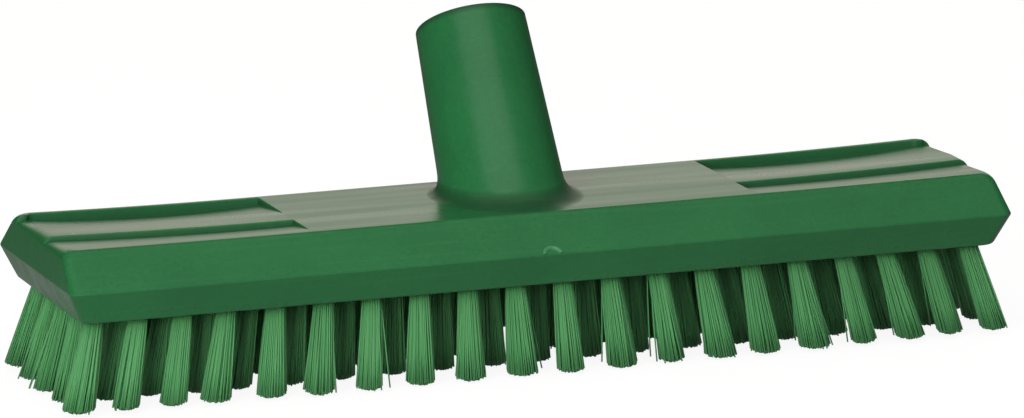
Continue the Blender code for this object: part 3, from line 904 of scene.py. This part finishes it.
def filamentTree():
    # its inputs are named as the dictionary's entries are
    tree, add, given = newTree("filaments", (
        "radius", "rootRadius", "tipRadius", "rootDepth", "scatter", "ragged", "dome", "bow", "strayShare",
        "strayReach"), ("count", "sides", "segments", "seed"))
    copies = add("GeometryNodeDuplicateElements", {
        "Geometry": given["Geometry"], "Amount": given["count"]}, domain="POINT")
    index = copies.outputs["Duplicate Index"]
    rolls = []
    for number in range(3):
        seed = add("FunctionNodeIntegerMath", {
            0: given["seed"], 1: number * filament["rollStep"]}, operation="ADD")
        rolls.append(add("FunctionNodeRandomValue", {
            "Min": (-1, -1, -1), "Max": (1, 1, 1), "Seed": seed}, data_type="FLOAT_VECTOR"))
    first, second = [add("ShaderNodeSeparateXYZ", {0: roll}).outputs for roll in rolls[:2]]
    vectors = ("filamentRoot", "filamentReach", "filamentBow", "filamentSection", "tuftReach")
    read = {}
    for names, kind in ((vectors, "FLOAT_VECTOR"), (("tuftWidth", "tuftTurn", "filamentShare"), "FLOAT")):
        for name in names:
            read[name] = add("GeometryNodeInputNamedAttribute", {"Name": name}, data_type=kind)

    # where each filament stands in its tuft's hole, on a spiral that fills it evenly
    half = add(mathNode, {0: index, 1: 0.5}, operation="ADD")
    share = add(mathNode, {0: half, 1: given["count"]}, operation="DIVIDE")
    out = add(mathNode, {0: share}, operation="SQRT")
    angle = add(mathNode, {
        0: index, 1: filament["goldenTurn"], 2: read["tuftTurn"]}, operation="MULTIPLY_ADD")
    cosine = add(mathNode, {0: angle}, operation="COSINE")
    sine = add(mathNode, {0: angle}, operation="SINE")
    ray = add("ShaderNodeCombineXYZ", {"X": cosine, "Y": sine})
    spoke = add(vectorNode, {0: ray, "Scale": out}, operation="SCALE")
    flatRoot = add(vectorNode, {0: spoke, "Scale": given["rootRadius"]}, operation="SCALE")
    rise = add("ShaderNodeCombineXYZ", {"Z": given["rootDepth"]})
    rootOffset = add(vectorNode, {0: flatRoot, 1: rise}, operation="ADD")
    position = add("GeometryNodeInputPosition")
    root = add(vectorNode, {0: position, 1: rootOffset}, operation="ADD")

    # where its cut tip ends up
    fan = add(mathNode, {0: given["tipRadius"], 1: read["tuftWidth"]}, operation="MULTIPLY")
    tipFlat = add(vectorNode, {0: spoke, "Scale": fan}, operation="SCALE")
    jitter = add("ShaderNodeCombineXYZ", {"X": first["X"], "Y": first["Y"]})
    luck = add(mathNode, {0: second["Z"], 1: 0.5, 2: 0.5}, operation="MULTIPLY_ADD")
    strays = add(mathNode, {0: luck, 1: given["strayShare"]}, operation="LESS_THAN")
    loose = add(mathNode, {
        0: strays, 1: given["strayReach"], 2: given["scatter"]}, operation="MULTIPLY_ADD")
    scattered = add(vectorNode, {0: jitter, "Scale": loose}, operation="SCALE")
    short = add(mathNode, {0: first["Z"]}, operation="ABSOLUTE")
    domed = add(mathNode, {0: share, 1: given["dome"]}, operation="MULTIPLY")
    cut = add(mathNode, {0: short, 1: given["ragged"], 2: domed}, operation="MULTIPLY_ADD")
    lift = add("ShaderNodeCombineXYZ", {"Z": cut})
    reach = read["tuftReach"]
    for part, step in ((tipFlat, "ADD"), (scattered, "ADD"), (lift, "ADD"), (rootOffset, "SUBTRACT")):
        reach = add(vectorNode, {0: reach, 1: part}, operation=step)
    bow = add(vectorNode, {0: rolls[2], "Scale": given["bow"]}, operation="SCALE")
    shade = add(mathNode, {0: second["X"], 1: 0.5, 2: 0.5}, operation="MULTIPLY_ADD")
    points = copies
    for name, source in (("Root", root), ("Reach", reach), ("Bow", bow), ("Shade", shade)):
        points = add("GeometryNodeStoreNamedAttribute", {
            "Name": "filament" + name, "Geometry": points, "Value": source},
            data_type="FLOAT" if source == shade else "FLOAT_VECTOR", domain="POINT")

    # one straight filament, a metre long, that each point gets a copy of
    rod = add("GeometryNodeMeshCylinder", {
        "Vertices": given["sides"], "Side Segments": given["segments"], "Radius": given["radius"], "Depth": 1},
        fill_type="NGON").outputs
    level = add("ShaderNodeSeparateXYZ", {0: position}).outputs
    run = add(mathNode, {0: 0.5, 1: level["Z"]}, operation="SUBTRACT")
    section = add(vectorNode, {0: position, 1: (1, 1, 0)}, operation="MULTIPLY")
    marked = add("GeometryNodeSetShadeSmooth", {"Geometry": rod["Mesh"], "Selection": rod["Side"]})
    for name, source, kind in (("Share", run, "FLOAT"), ("Section", section, "FLOAT_VECTOR")):
        marked = add("GeometryNodeStoreNamedAttribute", {
            "Name": "filament" + name, "Geometry": marked, "Value": source}, data_type=kind, domain="POINT")
    placed = add("GeometryNodeInstanceOnPoints", {"Points": points, "Instance": marked})
    real = add("GeometryNodeRealizeInstances", {"Geometry": placed})

    # root + reach * share + bow * 4 share (1 - share) + section
    gone = read["filamentShare"]
    left = add(mathNode, {0: 1, 1: gone}, operation="SUBTRACT")
    hump = add(mathNode, {0: gone, 1: left}, operation="MULTIPLY")
    hump = add(mathNode, {0: hump, 1: 4}, operation="MULTIPLY")
    straight = add(vectorNode, {0: read["filamentReach"], "Scale": gone}, operation="SCALE")
    bent = add(vectorNode, {0: read["filamentBow"], "Scale": hump}, operation="SCALE")
    final = read["filamentRoot"]
    for part in (straight, bent, read["filamentSection"]):
        final = add(vectorNode, {0: final, 1: part}, operation="ADD")
    shaped = add("GeometryNodeSetPosition", {"Geometry": real, "Position": final})
    for name in (*vectors, "tuftWidth", "tuftTurn"):
        shaped = add("GeometryNodeRemoveAttribute", {"Name": name, "Geometry": shaped})
    dressed = add("GeometryNodeSetMaterial", {"Geometry": shaped, "Material": given["Material"]})
    add("NodeGroupOutput", {"Geometry": dressed})
    return tree


def tuftPoints(name, places, dice):
    # one point for each tuft, with its own reach, width and turn
    mesh = bpy.data.meshes.new(name)
    floor = -block["lowerHeight"]
    mesh.from_pydata([tuple(Vector((x, y, floor)) + toFrame) for x, y in places], [], [])
    reaches, widths, turns = [], [], []
    for x, y in places:
        length = tufts["bristleLength"]
        lean = Vector((tufts["endSplay"] * x / rowEnd, tufts["sideSplay"] * y / rowHalf, 0)) / length
        depth = min(length, (length + tufts["trim"]) / math.sqrt(1 + lean.length_squared))
        stray = Vector((dice.uniform(-1, 1), dice.uniform(-1, 1), 0)) * filament["leanSpread"]
        reaches += [*(lean * depth + stray + Vector((0, 0, -depth)))]
        widths.append(1 + dice.uniform(-1, 1) * filament["widthSpread"])
        turns.append(dice.uniform(0, math.tau))
    storeValues(mesh, "tuftReach", reaches, "FLOAT_VECTOR")
    storeValues(mesh, "tuftWidth", widths)
    storeValues(mesh, "tuftTurn", turns)
    return mesh


def buildTufts():
    tree, dice, pieces = filamentTree(), random.Random(filament["seed"]), []
    for row, rowName in enumerate(tufts["rows"]):
        places = tuftPlaces(row)
        ends = [part * len(places) // tufts["slices"] for part in range(tufts["slices"] + 1)]
        for part, (start, end) in enumerate(zip(ends, ends[1:]), start=1):
            node = f"{rowName}_tufts_{part}"
            points = tuftPoints(node, places[start:end], dice)
            seed = filament["seed"] + len(pieces) * filament["sliceStep"]
            piece = grown(node + "_filaments", points, tree, {**filament, "seed": seed, "Material": polyester})
            pieces.append((piece, node))
    return pieces


tuftPieces = buildTufts()
print("tufts:", sum(len(piece.data.polygons) for piece, node in tuftPieces), "faces")


# The frame: what each piece rides on and stands for

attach(blockPiece, "root")
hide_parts("block", "socket")
for piece in (threadPiece, gatePiece):
    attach(piece, "root")
for piece, node in tuftPieces:
    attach(piece, "root")
    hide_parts(node)


# The floor, the light and the camera

studio = {
    "floorSize": 8.0,
    "floor": "#646462",
    "floorRoughness": 0.9,
    "floorSpecular": 0.1,
    "floorGlow": 0.91,
    "floorGlossGlow": 0.24,  # a painted pool of light round the brush, which the floor shows to glossy rays only
    "pool": (0.32, 0.14),
    "sky": 0.50,
    "room": 0.02,  # what the plastic mirrors away from the board
    "boardAcross": (0.950, -0.314, 0),
    "boardSide": (0.42, 0.24),
    "boardFoot": (-0.07, 0.05),
    "boardTop": (0.58, 0.34),
    "boardAhead": (0, 0.2),
    "boardTint": "#FFF3EA",
    "ceiling": (0.76, 0.92),
    "ceilingLevel": 0.30,
    "lamps": {
        "key": {"from": (-0.24, -0.70, 0.67), "distance": 2.4, "size": 3.3, "level": 0.40, "mirrored": True},
        "side": {"from": (-0.62, -0.74, 0.25), "distance": 0.9, "size": 0.32, "level": 0.58, "mirrored": False},
    },
}

photoCamera = {
    "azimuth": math.radians(-18.286),
    "elevation": math.radians(11.484),
    "roll": math.radians(-1.103),
    "distance": 2.103158,
    "aim": (0.001103, 0, 0.005383),
    "focal": 7626.29,  # in pixels of a 1024 x 418 picture
    "middle": (510.81, 209.03),
    "frame": (1024, 418),
    "sensor": 36,
    "clipEnd": 20,
}


def buildFloor():
    size = studio["floorSize"] / 2
    corners = [(-size, -size, 0), (size, -size, 0), (size, size, 0), (-size, size, 0)]
    floor = meshObject("floor", corners, [(0, 1, 2, 3)], smooth=False)
    material, shader, add, place = newMaterial("painted studio floor, matt white")
    seen = add("ShaderNodeLightPath").outputs
    either = add(mathNode, {
        0: seen["Is Camera Ray"], 1: seen["Is Transmission Ray"]}, operation="MAXIMUM")
    white = add(mathNode, {0: either, 1: studio["floorGlow"]}, operation="MULTIPLY")
    # a painted pool of light round the brush, which only glossy rays see
    away = add(vectorNode, {0: place}, operation="LENGTH").outputs["Value"]
    outer, inner = studio["pool"]
    pool = add("ShaderNodeMapRange", {
        "From Min": outer, "From Max": inner, "To Max": studio["floorGlossGlow"], "Value": away},
        interpolation_type="SMOOTHSTEP")
    glow = add(mathNode, {0: pool, 1: seen["Is Glossy Ray"], 2: white}, operation="MULTIPLY_ADD")
    setSockets(shader, {
        "Base Color": linear(studio["floor"]), "Roughness": studio["floorRoughness"],
        "Specular IOR Level": studio["floorSpecular"],
        "Emission Color": (1, 1, 1, 1), "Emission Strength": glow})
    floor.data.materials.append(material)


def buildWorld():
    world = bpy.data.worlds.new("studio")
    world.use_nodes = True
    scene.world = world
    add = partial(addNode, world.node_tree)
    seen = add("ShaderNodeLightPath").outputs
    # gloss sees a pale board behind the brush, a faint ceiling and little else
    look = add("ShaderNodeTexCoord").outputs["Generated"]
    across = add(vectorNode, {
        0: look, 1: studio["boardAcross"]}, operation="DOT_PRODUCT").outputs["Value"]
    beside = add(mathNode, {0: across}, operation="ABSOLUTE")
    parts = add("ShaderNodeSeparateXYZ", {0: look}).outputs
    edges = []
    for name, source in (
        ("boardSide", beside), ("boardFoot", parts["Z"]), ("boardTop", parts["Z"]), ("boardAhead", parts["Y"]),
    ):
        first, last = studio[name]
        edges.append(add("ShaderNodeMapRange", {"From Min": first, "From Max": last, "Value": source}))
    board = edges[0]
    for edge in edges[1:]:
        board = add(mathNode, {0: board, 1: edge}, operation="MULTIPLY")
    behind = add("ShaderNodeMapRange", {
        "To Min": studio["room"], "Value": board}, interpolation_type="SMOOTHSTEP")
    first, last = studio["ceiling"]
    overhead = add("ShaderNodeMapRange", {
        "From Min": first, "From Max": last, "To Max": studio["ceilingLevel"], "Value": parts["Z"]})
    room = add(mathNode, {0: behind, 1: overhead}, operation="ADD")
    mirrored = add("ShaderNodeMix", {0: seen["Is Glossy Ray"], "A": studio["sky"], "B": room})
    either = add(mathNode, {
        0: seen["Is Camera Ray"], 1: seen["Is Transmission Ray"]}, operation="MAXIMUM")
    level = add("ShaderNodeMix", {0: either, "A": mirrored, "B": 1})
    tint = add("ShaderNodeMix", {
        0: seen["Is Glossy Ray"], 6: (1, 1, 1, 1), 7: linear(studio["boardTint"])}, data_type="RGBA")
    setSockets(world.node_tree.nodes["Background"], {"Color": tint.outputs[2], "Strength": level})


def buildLight(name):
    facts = studio["lamps"][name]
    light = bpy.data.lights.new(name, "AREA")
    light.shape = "DISK"
    light.size = facts["size"]
    light.energy = facts["level"] * math.pi**2 * facts["distance"] ** 2
    direction = Vector(facts["from"]).normalized()
    turned = direction.to_track_quat("Z", "Y").to_matrix().to_4x4()
    lamp = newObject(name, light)
    lamp.visible_camera = False
    lamp.visible_glossy = facts["mirrored"]
    lamp.matrix_world = Matrix.Translation(direction * facts["distance"]) @ turned


def buildCamera():
    azimuth, elevation, roll = photoCamera["azimuth"], photoCamera["elevation"], photoCamera["roll"]
    level = math.cos(elevation)
    back = Vector((math.sin(azimuth) * level, -math.cos(azimuth) * level, math.sin(elevation)))
    right = (-back).cross(Vector((0, 0, 1))).normalized()
    up = right.cross(-back)
    cosine, sine = math.cos(roll), math.sin(roll)
    turned = Matrix((cosine * right + sine * up, cosine * up - sine * right, back)).transposed().to_4x4()
    camera = bpy.data.cameras.new("photo camera")
    width, height = photoCamera["frame"]
    camera.sensor_width = photoCamera["sensor"]
    camera.lens = photoCamera["focal"] * photoCamera["sensor"] / width
    camera.shift_x = (width / 2 - photoCamera["middle"][0]) / width
    camera.shift_y = (photoCamera["middle"][1] - height / 2) / width
    camera.clip_end = photoCamera["clipEnd"]
    eye = newObject("photo camera", camera)
    place = back * photoCamera["distance"] + Vector(photoCamera["aim"]) + toFrame
    eye.matrix_world = Matrix.Translation(place) @ turned
    scene.camera = eye


buildFloor()
buildWorld()
for name in studio["lamps"]:
    buildLight(name)
buildCamera()
scene.view_settings.view_transform = "Standard"
print("studio: done")
